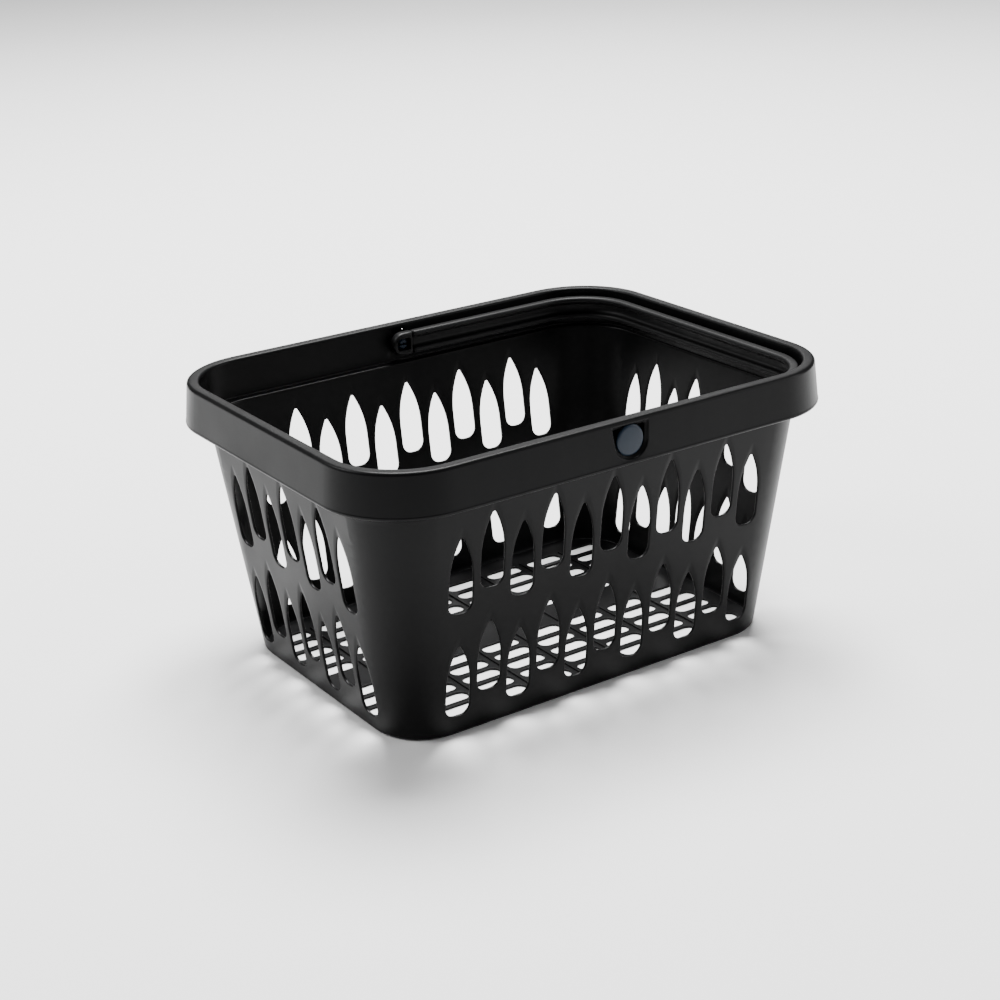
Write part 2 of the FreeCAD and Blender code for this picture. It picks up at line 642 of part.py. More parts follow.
# ---- pivot studs ------------------------------------------------------------------------------

def make_stud(name, half_turn):
    """A round-headed snap stud: low domed head, plain shank and a split, barbed tip."""
    body = new_body(name)
    face = SIZES["rim_width"] / 2 - SIZES["head_sink"]
    back = face - SIZES["head_thick"]
    web_inside = SIZES["rim_width"] / 2 - SIZES["rim_land"] - SIZES["handle_gap"] - SIZES["handle_web"]
    barb = web_inside - 0.2
    tip = barb - SIZES["barb_long"]
    shank = SIZES["stud_radius"]
    head = SIZES["head_radius"]
    lip = shank + SIZES["barb_lip"]
    dome = SIZES["head_dome"]
    points = (
        Vector(0, tip, 0), Vector(shank - 1.2, tip, 0), Vector(lip, barb - 0.8, 0), Vector(lip, barb, 0),
        Vector(shank, barb, 0), Vector(shank, back, 0), Vector(head, back, 0), Vector(head, face - dome, 0),
    )
    crown = Vector(0, face, 0)
    crown_radius = (head * head + dome * dome) / (2 * dome)
    halfway = math.asin(head / crown_radius) / 2
    lift = crown_radius * (1 - math.cos(halfway))
    shoulder = Vector(crown_radius * math.sin(halfway), face - lift, 0)
    section = body.newObject("Sketcher::SketchObject", name + "Section")
    section.AttachmentSupport = [(plane_of(body, "XY_Plane"), "")]
    section.MapMode = "FlatFace"
    for low, high in zip(points, points[1:]):
        section.addGeometry(Part.LineSegment(low, high), False)
    section.addGeometry(Part.Arc(points[-1], shoulder, crown), False)
    section.addGeometry(Part.LineSegment(crown, points[0]), False)
    count = section.GeometryCount
    for here in range(count):
        section.addConstraint(Sketcher.Constraint("Coincident", here, 2, (here + 1) % count, 1))
    half_width = "Sizes.rim_width / 2"
    back_face = half_width + " - Sizes.head_sink - Sizes.head_thick"
    bind(section, Sketcher.Constraint("DistanceY", -1, 1, 5, 1, back), back_face)
    bind(section, Sketcher.Constraint("DistanceX", -1, 1, 5, 1, shank), "Sizes.stud_radius")
    turned = body.newObject("PartDesign::Revolution", name + "Turned")
    turned.Profile = section
    turned.ReferenceAxis = (section, ["V_Axis"])
    turned.Angle = 360
    split = new_sketch(body, name + "Split", "YZ_Plane")
    end = "%s - Sizes.rim_land - Sizes.handle_gap - Sizes.handle_web - Sizes.barb_long" % half_width
    half_split = "Sizes.split_width / 2"
    rectangle(split, end + " - 2", end + " + Sizes.split_deep", "-" + half_split, half_split)
    pocket(body, name + "SplitCut", split, symmetric=True)
    turn = Rotation(Vector(0, 0, 1), 180 if half_turn else 0)
    body.Placement = Placement(Vector(0, 0, 0), turn)
    body.setExpression("Placement.Base.z", "Sizes.pivot_top")
    return body


# ---- build, check and write -------------------------------------------------------------------

cup = make_cup()
grid = make_grid_tool()
nodes = [make_floor(cup, grid)]
nodes += make_walls(cup)
nodes.append(make_ledge())
nodes.append(make_rim())
nodes.append(make_handle())
nodes.append(make_stud("front_pivot_stud", True))
nodes.append(make_stud("rear_pivot_stud", False))
doc.recompute()

for item in doc.Objects:
    if "Invalid" in item.State or "Error" in item.State:
        raise RuntimeError("%s is %s" % (item.Name, item.State))
for node in nodes:
    if node.Shape.isNull() or not node.Shape.isValid():
        raise RuntimeError("%s has no valid shape" % node.Label)
    if len(node.Shape.Solids) != 1:
        raise RuntimeError("%s has %d solids" % (node.Label, len(node.Shape.Solids)))

os.makedirs("parts", exist_ok=True)
for node in nodes:
    node.Shape.exportStep("parts/%s.step" % node.Label)
    print("%-22s %10.1f mm3" % (node.Label, node.Shape.Volume))
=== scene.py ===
"""A plastic shopping basket: one black moulding, a swinging bail handle and two snap studs."""

import math

import bmesh
import bpy
from mathutils import Matrix, Vector
from mathutils.geometry import delaunay_2d_cdt


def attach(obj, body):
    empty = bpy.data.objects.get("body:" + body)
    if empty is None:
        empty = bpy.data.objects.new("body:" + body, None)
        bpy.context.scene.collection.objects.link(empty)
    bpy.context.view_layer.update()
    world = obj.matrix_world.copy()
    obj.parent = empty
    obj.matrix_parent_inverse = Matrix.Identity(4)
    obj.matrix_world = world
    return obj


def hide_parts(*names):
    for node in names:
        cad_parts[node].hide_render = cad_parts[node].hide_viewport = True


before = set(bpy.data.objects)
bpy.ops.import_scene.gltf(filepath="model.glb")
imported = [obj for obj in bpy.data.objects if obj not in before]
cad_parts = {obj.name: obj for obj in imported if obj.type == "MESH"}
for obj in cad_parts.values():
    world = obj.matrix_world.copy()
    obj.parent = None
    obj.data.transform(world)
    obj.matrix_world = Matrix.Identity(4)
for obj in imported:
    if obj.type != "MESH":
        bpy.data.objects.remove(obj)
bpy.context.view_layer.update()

MM = 0.001
QUARTER = math.pi / 2

# ---- sizes in millimetres ---------------------------------------------------------------------
# Most follow the CAD model to within 0.1 mm. The recess round a stud, its boss and window, the
# head's crown, the handle's beads, the flutes and all edge rounding are this script's own.
RIM_HALF_X, RIM_HALF_Y, RIM_CORNER = 220.0, 167.7, 66.0
RIM_TOP, RIM_FOOT = 232.5, 197.5
RIM_WALL, LAND, FLARE = 2.4, 10.0, 3.6
LEDGE_TOP = 199.9
FACE_LOW, FACE_HIGH = 200.9, 229.7  # where the skirt's face ends and its rounded edges begin
WALL_LOW, WALL_HIGH = 201.3, 230.1  # the same on the rim's inner wall
EDGE_OUT, EDGE_IN, LAND_MIDDLE = 2.8, 2.4, 5.0  # rounding at the rim's top, and a ring between
# The skirt's rolled lower lip and the ledge's inner edge, each as (inset, height).
LIP = ((-0.8, 201.6), (-0.85, 198.6), (-1.0, 197.9), (-1.4, 197.55), (-1.8, 197.5), (-2.4, 197.64),
       (-2.95, 198.02), (-3.35, 198.55), (-3.56, 199.15), (-3.6, 199.6), (-3.54, 200.0), (-3.44, 200.4))
LEDGE_ROOT = ((0.0, WALL_LOW), (0.15, 200.7), (0.6, 200.1), (1.4, LEDGE_TOP))
LEDGE_NOSE = ((0.9, 0.0), (1.5, 0.12), (2.1, 0.5), (2.35, 1.1))  # inset from the tub, and drop
BASE_HALF_X, BASE_HALF_Y, BASE_CORNER = 182.7, 127.9, 45.0
GROW_X, GROW_Y, GROW_CORNER = 23.8, 23.7, 8.0  # from the base up to the foot of the rim
WALL, FLOOR = 2.4, 2.0
FOOT_ROUND, FLOOR_ROUND, COVE_TOP = 3.2, 1.3, 8.6

SLOT_HALF, SLOT_PITCH, SLOT_CORNER, SLOT_SPRING, SLOT_TIP = 10.5, 27.3, 8.6, 25.0, 1.6
LOWER_BASE, LOWER_TALL, UPPER_BASE, UPPER_TALL, SLOT_STEP = 16.6, 59.9, 104.8, 62.0, 15.0
END_DROP = 3.2  # the end walls' slots sit this much lower
LONG_SLOTS, SHORT_SLOTS = 11, 7
FLUTE_WIDE, FLUTE_TALL, FLUTE_DEEP, FLUTE_SOFT = 2.2, 12.0, 0.62, 4.6
FLUTE_START, FLUTE_STOP = 22.0, 3.0  # it fades in over the arch and out under the rim

GRID_HALF_X, GRID_HALF_Y, GRID_CORNER = 17.1, 6.6, 6.3
GRID_PITCH_X, GRID_PITCH_Y, GRID_FIRST_Y, GRID_SHIFT = 43.3, 18.4, 23.4, -4.0
GRID_COLUMNS, GRID_ROWS = 8, 5
GRID_EDGE, GRID_EDGE_MIDDLE = 0.45, 0.13
SPINE_HALF, SPINE_REACH, SPINE_TALL, SPINE_ROOT = 0.9, 104.0, 1.1, 0.4

PIVOT_Z = 216.0
STUD_RADIUS, BORE_RADIUS, BOSS_RADIUS, HEAD_RADIUS = 4.4, 4.47, 7.0, 12.3
HEAD_SINK, HEAD_THICK, HEAD_CROWN = -1.4, 3.0, 0.5
HEAD_EDGE, HEAD_EDGE_DEEP = 1.7, 1.4
SPLIT_LENGTH, SPLIT_HALF, TIP_LENGTH, BARB_OUT = 7.5, 0.8, 3.2, 0.6
RECESS_RADIUS, RECESS_WIDE, RECESS_TOP, RECESS_TOP_HALF = 13.9, 1.1, 228.2, 16.6
RECESS_DRAFT, RECESS_TOP_DRAFT, RECESS_TOP_ROUND = 0.9, 1.2, 1.0
# The recess's rounded mouth and the shelf inside it, each as (growth of the outline, depth).
MOUTH = ((1.05, 0.0), (0.66, 0.1), (0.34, 0.3), (0.11, 0.62), (0.0, 1.1))
SHELF = ((-0.5, 1.35), (-1.75, 2.2), (-2.1, 2.6), (-2.1, 4.0))
HOUSING_RADIUS, CEILING = 17.6, 230.1
RIB_HALF, RIB_FOOT = 0.8, 2.0
PATCH_HALF = 30.0
WINDOW_HALF, WINDOW_LOW, WINDOW_HIGH = 6.0, 223.9, 227.6
REST_DEEP, REST_HALF, REST_TALL, REST_SINK, REST_EDGE = 4.0, 94.0, 5.8, 0.6, 0.8
LONG_RIBS, SHORT_RIBS = (-136.0, -84.0, 84.0, 136.0), (-78.0, -26.0, 26.0, 78.0)

BAR_OUT, BAR_IN, BAR_LOW, BAR_HIGH, WEB = 12.6, 20.6, 206.0, 226.0, 2.4
BEAD, COVE = 2.6, 3.4
HUB_REACH, POCKET_HALF_X, POCKET_HALF_Z, POCKET_CORNER = 9.0, 6.5, 5.2, 1.2
HUB_EDGE, HUB_CORNER, HUB_LAP = 0.9, 0.6, 0.6

# ---- how finely the meshes are divided --------------------------------------------------------
ARC_STEPS = 16  # steps round a corner of the basket
WRAP_STEPS = 3  # how many of them belong to the wall beside it
SKIN_STEP_U, SKIN_STEP_Z, SKIN_FIRST_Z, SKIN_GAP = 9.1, 9.0, 10.0, 0.55
SKIN_CLEAR, SKIN_BOX, SKIN_PAST, BEND_STEP = 0.7, 3.0, 10.5, 6.0
HEAD_STEPS = 64


# ---- mesh helpers -----------------------------------------------------------------------------

class Soup:
    """Faces collected as loose corner points in millimetres, welded into one mesh at the end."""

    def __init__(self):
        self.points = []
        self.faces = []

    def face(self, corners):
        start = len(self.points)
        self.points.extend(corners)
        self.faces.append(range(start, start + len(corners)))

    def strip(self, low, high, closed=False):
        """Quads between two rows of the same number of points."""
        count = len(low)
        for i in range(count if closed else count - 1):
            j = (i + 1) % count
            self.face((low[i], low[j], high[j], high[i]))

    def strips(self, rows, closed=False):
        """Quads between each row and the next."""
        for low, high in zip(rows, rows[1:]):
            self.strip(low, high, closed)

    def build(self, name):
        """The finished object, in metres, smooth shaded and with its open edges counted."""
        mesh = bpy.data.meshes.new(name)
        points = [tuple(c * MM for c in p) for p in self.points]
        mesh.from_pydata(points, [], [tuple(f) for f in self.faces])
        work = bmesh.new()
        work.from_mesh(mesh)
        bmesh.ops.remove_doubles(work, verts=work.verts, dist=2e-6)
        bmesh.ops.dissolve_degenerate(work, edges=work.edges, dist=1e-7)
        bmesh.ops.recalc_face_normals(work, faces=work.faces)
        for face in work.faces:
            face.smooth = True
        loose = sum(1 for edge in work.edges if not edge.is_manifold)
        print("mesh", name, len(work.verts), "vertices", len(work.faces), "faces", loose, "open edges")
        work.to_mesh(mesh)
        work.free()
        thing = bpy.data.objects.new(name, mesh)
        bpy.context.scene.collection.objects.link(thing)
        weighted = thing.modifiers.new("weighted_normals", "WEIGHTED_NORMAL")
        weighted.weight = 70
        weighted.keep_sharp = True
        return thing


def inside(point, loop):
    """True when a flat point lies in a closed loop of flat points."""
    x, y = point
    hit = False
    for (ax, ay), (bx, by) in zip(loop, loop[1:] + loop[:1]):
        if (ay > y) != (by > y) and x < (bx - ax) * (y - ay) / (by - ay) + ax:
            hit = not hit
    return hit


def fill(soup, border, holes, place, extra=()):
    """Triangles between a flat border loop and its holes, put in space by place(u, v)."""
    flat = [Vector(p) for p in border]
    edges = [(i, (i + 1) % len(border)) for i in range(len(border))]
    for hole in holes:
        start = len(flat)
        flat.extend(Vector(p) for p in hole)
        edges.extend((start + i, start + (i + 1) % len(hole)) for i in range(len(hole)))
    flat.extend(Vector(p) for p in extra)
    found, _, triangles, _, _, _ = delaunay_2d_cdt(flat, edges, [], 0, 1e-6)
    boxes = [(min(p[0] for p in h), max(p[0] for p in h), min(p[1] for p in h), max(p[1] for p in h))
             for h in holes]
    put = [place(p.x, p.y) for p in found]
    for triangle in triangles:
        a, b, c = (found[i] for i in triangle)
        if abs((b - a).cross(c - a)) < 1e-5:
            continue
        middle = (a + b + c) / 3
        if not inside(middle, border):
            continue
        for hole, (x0, x1, y0, y1) in zip(holes, boxes):
            if x0 < middle.x < x1 and y0 < middle.y < y1 and inside(middle, hole):
                break
        else:
            soup.face([put[i] for i in triangle])


# ---- the rounded-rectangle rings the basket is made of ----------------------------------------

def tub_size(z):
    """Half straight length, half extent and corner radius of the walls at a height, both ways."""
    part = z / RIM_FOOT
    corner = BASE_CORNER + GROW_CORNER * part
    half_x = BASE_HALF_X + GROW_X * part
    half_y = BASE_HALF_Y + GROW_Y * part
    return half_x, half_y, corner


def rim_size(_):
    """The same for the rim's top outline, which is alike at every height."""
    return RIM_HALF_X, RIM_HALF_Y, RIM_CORNER


def spread(stops, longest):
    """Stops plus even steps between them no longer than longest."""
    out = []
    for a, b in zip(stops, stops[1:]):
        count = max(1, math.ceil((b - a) / longest))
        out.extend(a + (b - a) * i / count for i in range(count))
    return out + [stops[-1]]


def mirrored(values):
    """The values and their negatives, in order."""
    return sorted(set(-v for v in values) | set(values))


def rib_stops(ribs):
    """Stations on both sides of each rib in a positive half."""
    return [rib + off for rib in ribs if rib > 0 for off in (-0.9, -0.7, 0.7, 0.9)]


# Stations are the places along a side that every ring shares, measured from the side's middle.
LONG_HALF, SHORT_HALF, STATION_STEP = 154.0, 101.7, 11.0
HOUSE_STOPS = [0, 3, 6, 9, 12, 14.5, 16.2, 17.2, 17.7, 20, 24, PATCH_HALF]
LONG_STATIONS = mirrored(spread(HOUSE_STOPS + rib_stops(LONG_RIBS) + [LONG_HALF], STATION_STEP))
SHORT_STATIONS = mirrored(spread([0.0] + rib_stops(SHORT_RIBS) + [SHORT_HALF], STATION_STEP))
SIDES = ("front", "right", "rear", "left")


def is_long(side):
    return side in ("front", "rear")


def turn(side, u, n, z):
    """Along-the-side, outward and up, turned into x, y, z."""
    if side == "front":
        return (u, -n, z)
    if side == "right":
        return (n, u, z)
    if side == "rear":
        return (-u, n, z)
    return (-n, -u, z)


def side_size(size, side, z):
    """Straight half length, half extent and corner radius as seen from one side."""
    half_x, half_y, corner = size(z)
    along, out = (half_x, half_y) if is_long(side) else (half_y, half_x)
    return along - corner, out, corner


def side_row(size, side, inset, z, wrap=0):
    """The stations of one side at an inset and height as (u, n), with wrap arc stations at each end."""
    straight, out, corner = side_size(size, side, z)
    stations, half = (LONG_STATIONS, LONG_HALF) if is_long(side) else (SHORT_STATIONS, SHORT_HALF)
    row = [(s / half * straight, out - inset) for s in stations]
    radius = corner - inset
    for step in range(1, wrap + 1):
        angle = QUARTER * step / ARC_STEPS
        u = straight + radius * math.sin(angle)
        n = out - corner + radius * math.cos(angle)
        row.append((u, n))
        row.insert(0, (-u, n))
    return row


def corner_row(size, side, inset, z, first, last):
    """Arc stations first..last of the corner that follows a side."""
    straight, out, corner = side_size(size, side, z)
    radius = corner - inset
    row = []
    for step in range(first, last + 1):
        angle = QUARTER * step / ARC_STEPS
        row.append((straight + radius * math.sin(angle), out - corner + radius * math.cos(angle)))
    return row


def ring(size, inset, z, lift=None):
    """One closed ring of stations. lift(side, u) may change the height of a station."""
    out = []
    for side in SIDES:
        for u, n in side_row(size, side, inset, z) + corner_row(size, side, inset, z, 1, ARC_STEPS - 1):
            out.append(turn(side, u, n, lift(side, u) if lift else z))
    return out


def station_span(side, low, high):
    """First and last ring index of the stations of a side between two positions."""
    index = 0
    for here in SIDES:
        stations = LONG_STATIONS if is_long(here) else SHORT_STATIONS
        if here == side:
            chosen = [index + i for i, s in enumerate(stations) if low - 1e-6 <= s <= high + 1e-6]
            return chosen[0], chosen[-1]
        index += len(stations) + ARC_STEPS - 1
    return None


# ---- slots in the walls -----------------------------------------------------------------------

def arch(centre, base, tall, grow):
    """A wall slot's outline, grown outwards by grow: round-cornered foot, pointed arch top."""
    half, tip = SLOT_HALF, SLOT_TIP
    rise = tall - SLOT_SPRING - tip
    big = (half * half + rise * rise - tip * tip) / (2 * (half - tip))
    lean = math.atan2(rise, big - half)
    right = [(half - SLOT_CORNER, -grow)]
    for step in range(1, 7):
        angle = -QUARTER + QUARTER * step / 6
        reach = SLOT_CORNER + grow
        right.append((half - SLOT_CORNER + reach * math.cos(angle),
                      SLOT_CORNER + reach * math.sin(angle)))
    for step in range(1, 4):
        right.append((half + grow, SLOT_CORNER + (SLOT_SPRING - SLOT_CORNER) * step / 3))
    for step in range(1, 11):
        angle = lean * step / 10
        right.append((half - big + (big + grow) * math.cos(angle),
                      SLOT_SPRING + (big + grow) * math.sin(angle)))
    for step in range(1, 4):
        angle = lean + (QUARTER - lean) * step / 3
        right.append(((tip + grow) * math.cos(angle), tall - tip + (tip + grow) * math.sin(angle)))
    left = [(-x, y) for x, y in reversed(right[:-1])]
    return [(centre + x, base + y) for x, y in right + left]


def wall_slots(side):
    """(centre, base, tall) of every slot in a side: two rows, low and high by turns."""
    count = LONG_SLOTS if is_long(side) else SHORT_SLOTS
    drop = 0.0 if is_long(side) else END_DROP
    slots = []
    for index in range(count):
        centre = (index - (count - 1) / 2) * SLOT_PITCH
        lift = SLOT_STEP * (index % 2) - drop
        slots.append((centre, LOWER_BASE + lift, LOWER_TALL))
        slots.append((centre, UPPER_BASE + lift, UPPER_TALL))
    return slots


def smooth(t):
    """0 to 1 with a soft start and end."""
    t = min(1.0, max(0.0, t))
    return t * t * (3 - 2 * t)


def flute_circle(tall):
    """Half width, arc radius and rise of the soft valley that carries a slot's shoulders on."""
    half = SLOT_HALF + FLUTE_WIDE
    rise = tall + FLUTE_TALL - SLOT_SPRING
    return half, (half * half + rise * rise) / (2 * half), rise


def flute(slots, u, z):
    """How far the skin sinks at a point beside or above the slots."""
    deepest = 0.0
    for centre, base, tall in slots:
        along, up = abs(u - centre), z - base - SLOT_SPRING
        if along > SLOT_HALF + FLUTE_WIDE or up < 0 or up > tall + FLUTE_TALL:
            continue
        half, radius, _ = flute_circle(tall)
        along = math.sqrt(along * along + 1.6) - 0.5
        within = radius - math.hypot(along + radius - half, up)
        start = smooth(up / FLUTE_START)
        deepest = max(deepest, FLUTE_DEEP * smooth(within / FLUTE_SOFT) * start)
    return deepest * smooth((RIM_FOOT - z) / FLUTE_STOP)


def valley_points(slots):
    """Extra skin points that let the mesh follow the valleys."""
    out = []
    for centre, base, tall in slots:
        half, radius, rise = flute_circle(tall)
        for shrink in (-0.6, 0.0, 0.9, 1.8, 2.8, 3.8):
            reach = radius - shrink
            top = math.acos(min(1.0, (radius - half) / reach))
            for step in range(1, 27):
                angle = top * step / 26
                x = half - radius + reach * math.cos(angle)
                up = reach * math.sin(angle)
                out.append((centre + x, base + SLOT_SPRING + up))
                if x > 0.4:
                    out.append((centre - x, base + SLOT_SPRING + up))
        for step in range(1, 9):
            out.append((centre, base + tall + FLUTE_TALL * step / 9))
    return out


# A slot's rounded edge as (growth of the outline, depth under the wall's face).
EDGE_RINGS = ((0.9, 0.0), (0.5, 0.1), (0.24, 0.24), (0.1, 0.5), (0.0, 0.9))
LEVELS = [12.0 + 185.5 * i / 15 for i in range(15)] + [RIM_FOOT]  # heights the wall edges share
WALL_LEVELS = {False: [FOOT_ROUND] + LEVELS, True: [COVE_TOP] + LEVELS}


def skin(side, slots, inner, u, z, depth=0.0):
    """A point on the outer or inner face of a wall, sunk by its valley and by depth."""
    straight, out, corner = side_size(tub_size, side, z)
    radius = corner - (WALL if inner else 0.0)
    over = abs(u) - straight
    n = out - corner + (math.sqrt(radius * radius - over * over) if over > 0 else radius)
    sink = flute(slots, u, z) + depth
    return turn(side, u, n + sink if inner else n - sink, z)


def add_wall(soup, side):
    """Both faces of one wall, with the slots cut through and their edges rounded."""
    slots = wall_slots(side)
    far = EDGE_RINGS[0][0]
    outlines = {}
    for grow, _ in EDGE_RINGS:
        outlines[grow] = [arch(c, b, t, grow) for c, b, t in slots]
    keep_off = [arch(c, b, t, far + SKIN_CLEAR) for c, b, t in slots]
    extra = []
    grid = [(u * SKIN_STEP_U, SKIN_FIRST_Z + v * SKIN_STEP_Z) for u in range(-16, 17) for v in range(0, 21)]
    limit = (LONG_HALF if is_long(side) else SHORT_HALF) + 14
    reach = SLOT_HALF + SKIN_BOX
    boxes = [(c - reach, c + reach, b - 2, b + t + 2) for c, b, t in slots]

    def in_slot(u, z):
        return any(x0 < u < x1 and y0 < z < y1 and inside((u, z), loop)
                   for loop, (x0, x1, y0, y1) in zip(keep_off, boxes))

    taken = {}
    for u, z in valley_points(slots) + grid:
        straight = side_size(tub_size, side, z)[0]
        if z > RIM_FOOT - 0.8 or z < FOOT_ROUND + 2 or abs(u) > min(limit, straight + SKIN_PAST):
            continue
        near = [taken[(i, j)] for i in (round(u) - 1, round(u), round(u) + 1)
                for j in (round(z) - 1, round(z), round(z) + 1) if (i, j) in taken]
        if any(math.hypot(u - a, z - b) < SKIN_GAP for a, b in near) or in_slot(u, z):
            continue
        taken[(round(u), round(z))] = (u, z)
        extra.append((u, z))
    arcs = [(sign, step) for sign in (-1, 1) for step in range(1, WRAP_STEPS)]
    for inner in (False, True):
        inset = WALL if inner else 0.0
        levels = WALL_LEVELS[inner]
        border = [(u, levels[0]) for u, _ in side_row(tub_size, side, inset, levels[0], WRAP_STEPS)]
        right = [(side_row(tub_size, side, inset, z, WRAP_STEPS)[-1][0], z) for z in levels[1:-1]]
        top = [(u, levels[-1]) for u, _ in side_row(tub_size, side, inset, levels[-1], WRAP_STEPS)]
        border = border + right + top[::-1] + [(-u, z) for u, z in reversed(right)]
        bends = []
        for sign, step in arcs:
            for z in [levels[0] + BEND_STEP * k for k in range(1, 32)]:
                straight, _, corner = side_size(tub_size, side, z)
                u = sign * (straight + (corner - inset) * math.sin(QUARTER * step / ARC_STEPS))
                if not in_slot(u, z):
                    bends.append((u, z))
        points = [p for p in extra + bends if p[1] > levels[0] + 1.5]
        fill(soup, border, outlines[far], lambda u, z: skin(side, slots, inner, u, z), points)
    for index in range(len(slots)):
        rows = [[skin(side, slots, False, u, z, deep) for u, z in outlines[grow][index]]
                for grow, deep in EDGE_RINGS]
        rows += [[skin(side, slots, True, u, z, deep) for u, z in outlines[grow][index]]
                 for grow, deep in reversed(EDGE_RINGS)]
        soup.strips(rows, closed=True)


def add_corners(soup):
    """The four plain corners between the walls, outside and inside."""
    for side in SIDES:
        for inner in (False, True):
            inset = WALL if inner else 0.0
            rows = []
            for z in WALL_LEVELS[inner]:
                row = corner_row(tub_size, side, inset, z, WRAP_STEPS, ARC_STEPS - WRAP_STEPS)
                rows.append([turn(side, u, n, z) for u, n in row])
            soup.strips(rows)


# ---- the floor --------------------------------------------------------------------------------

def grid_slot(x, y, grow):
    """The outline of one floor slot, grown outwards by grow."""
    out = []
    reach = GRID_CORNER + grow
    for quarter, (sx, sy) in enumerate(((1, 1), (-1, 1), (-1, -1), (1, -1))):
        for step in range(7):
            angle = QUARTER * (quarter + step / 6)
            out.append((
                x + sx * (GRID_HALF_X - GRID_CORNER) + reach * math.cos(angle),
                y + sy * (GRID_HALF_Y - GRID_CORNER) + reach * math.sin(angle),
            ))
    return out


def add_floor(soup):
    """The slotted floor, its rounded foot and inside cove, and the low ribs between the columns."""
    places = []
    for column in range(GRID_COLUMNS):
        x = GRID_SHIFT + (column - (GRID_COLUMNS - 1) / 2) * GRID_PITCH_X
        for row in range(GRID_ROWS):
            for sign in (-1, 1):
                places.append((x, sign * (GRID_FIRST_Y + row * GRID_PITCH_Y)))
    edge = ((GRID_EDGE, 0.0), (GRID_EDGE_MIDDLE, GRID_EDGE_MIDDLE), (0.0, GRID_EDGE),
            (0.0, FLOOR - GRID_EDGE), (GRID_EDGE_MIDDLE, FLOOR - GRID_EDGE_MIDDLE), (GRID_EDGE, FLOOR))
    holes = [grid_slot(x, y, edge[0][0]) for x, y in places]
    for z, inset in ((FLOOR, WALL + FLOOR_ROUND), (0.0, FOOT_ROUND)):
        border = [(x, y) for x, y, _ in ring(tub_size, inset, z)]
        fill(soup, border, holes, lambda x, y: (x, y, z))
    for x, y in places:
        rows = [[(a, b, FLOOR - deep) for a, b in grid_slot(x, y, grow)] for grow, deep in edge]
        soup.strips(rows, closed=True)
    rows = []
    for step in range(5):
        angle = QUARTER * step / 4
        inset, z = FOOT_ROUND * (1 - math.cos(angle)), FOOT_ROUND * (1 - math.sin(angle))
        rows.append(ring(tub_size, inset, z))
    soup.strips(rows, closed=True)
    rows = [ring(tub_size, WALL, COVE_TOP)]
    for step in range(1, 7):
        angle = QUARTER * step / 6
        inset = WALL + FLOOR_ROUND * (1 - math.cos(angle))
        rows.append(ring(tub_size, inset, COVE_TOP - (COVE_TOP - FLOOR) * math.sin(angle)))
    soup.strips(rows, closed=True)
    for column in range(GRID_COLUMNS - 1):
        x = GRID_SHIFT + (column - GRID_COLUMNS / 2 + 1) * GRID_PITCH_X
        rounded_block(soup, (x - SPINE_HALF, -SPINE_REACH, FLOOR - SPINE_ROOT),
                      (x + SPINE_HALF, SPINE_REACH, FLOOR + SPINE_TALL), SPINE_HALF / 2)


# ---- the rim ----------------------------------------------------------------------------------

def face_inset(z):
    """The flared skirt's face at a height, as an inset from the rim's top outline."""
    return -FLARE * (RIM_TOP - z) / (RIM_TOP - RIM_FOOT)


def ceiling(side, u):
    """Height of the hollow rim's hidden roof: low at a rib and under a stud's housing."""
    if is_long(side) and abs(u) < HOUSING_RADIUS:
        return PIVOT_Z - math.sqrt(HOUSING_RADIUS ** 2 - u * u)
    ribs = LONG_RIBS if is_long(side) else SHORT_RIBS
    if any(abs(u - rib) < RIB_HALF for rib in ribs):
        return RIM_FOOT + RIB_FOOT
    return CEILING


def recess_outline(part, grow=0.0):
    """The U around a stud's head, from the skirt's face (part 0) to the back plane (part 1)."""
    radius = RECESS_RADIUS - RECESS_DRAFT * part + grow
    wide = (RECESS_RADIUS - RECESS_DRAFT * part) * RECESS_WIDE + grow
    half_top = RECESS_TOP_HALF - RECESS_TOP_DRAFT * part + grow
    top = RECESS_TOP + grow
    corner = RECESS_TOP_ROUND
    right = []
    for step in range(17):
        angle = -QUARTER + QUARTER * step / 16
        right.append((wide * math.cos(angle), PIVOT_Z + radius * math.sin(angle)))
    for step in (1, 2):
        right.append((wide + (half_top - wide) * step / 3, PIVOT_Z + (top - corner - PIVOT_Z) * step / 3))
    for step in range(4):
        angle = QUARTER * step / 3
        right.append((half_top - corner + corner * math.cos(angle), top - corner + corner * math.sin(angle)))
    for share in (0.66, 0.33):
        right.append(((half_top - corner) * share, top))
    left = [(-x, z) for x, z in reversed(right[1:])]
    return right + [(0.0, top)] + left


def circle(radius, count=40):
    """Points round the pivot's axis, seen along it."""
    angles = [4 * QUARTER * i / count for i in range(count)]
    return [(radius * math.cos(angle), PIVOT_Z + radius * math.sin(angle)) for angle in angles]


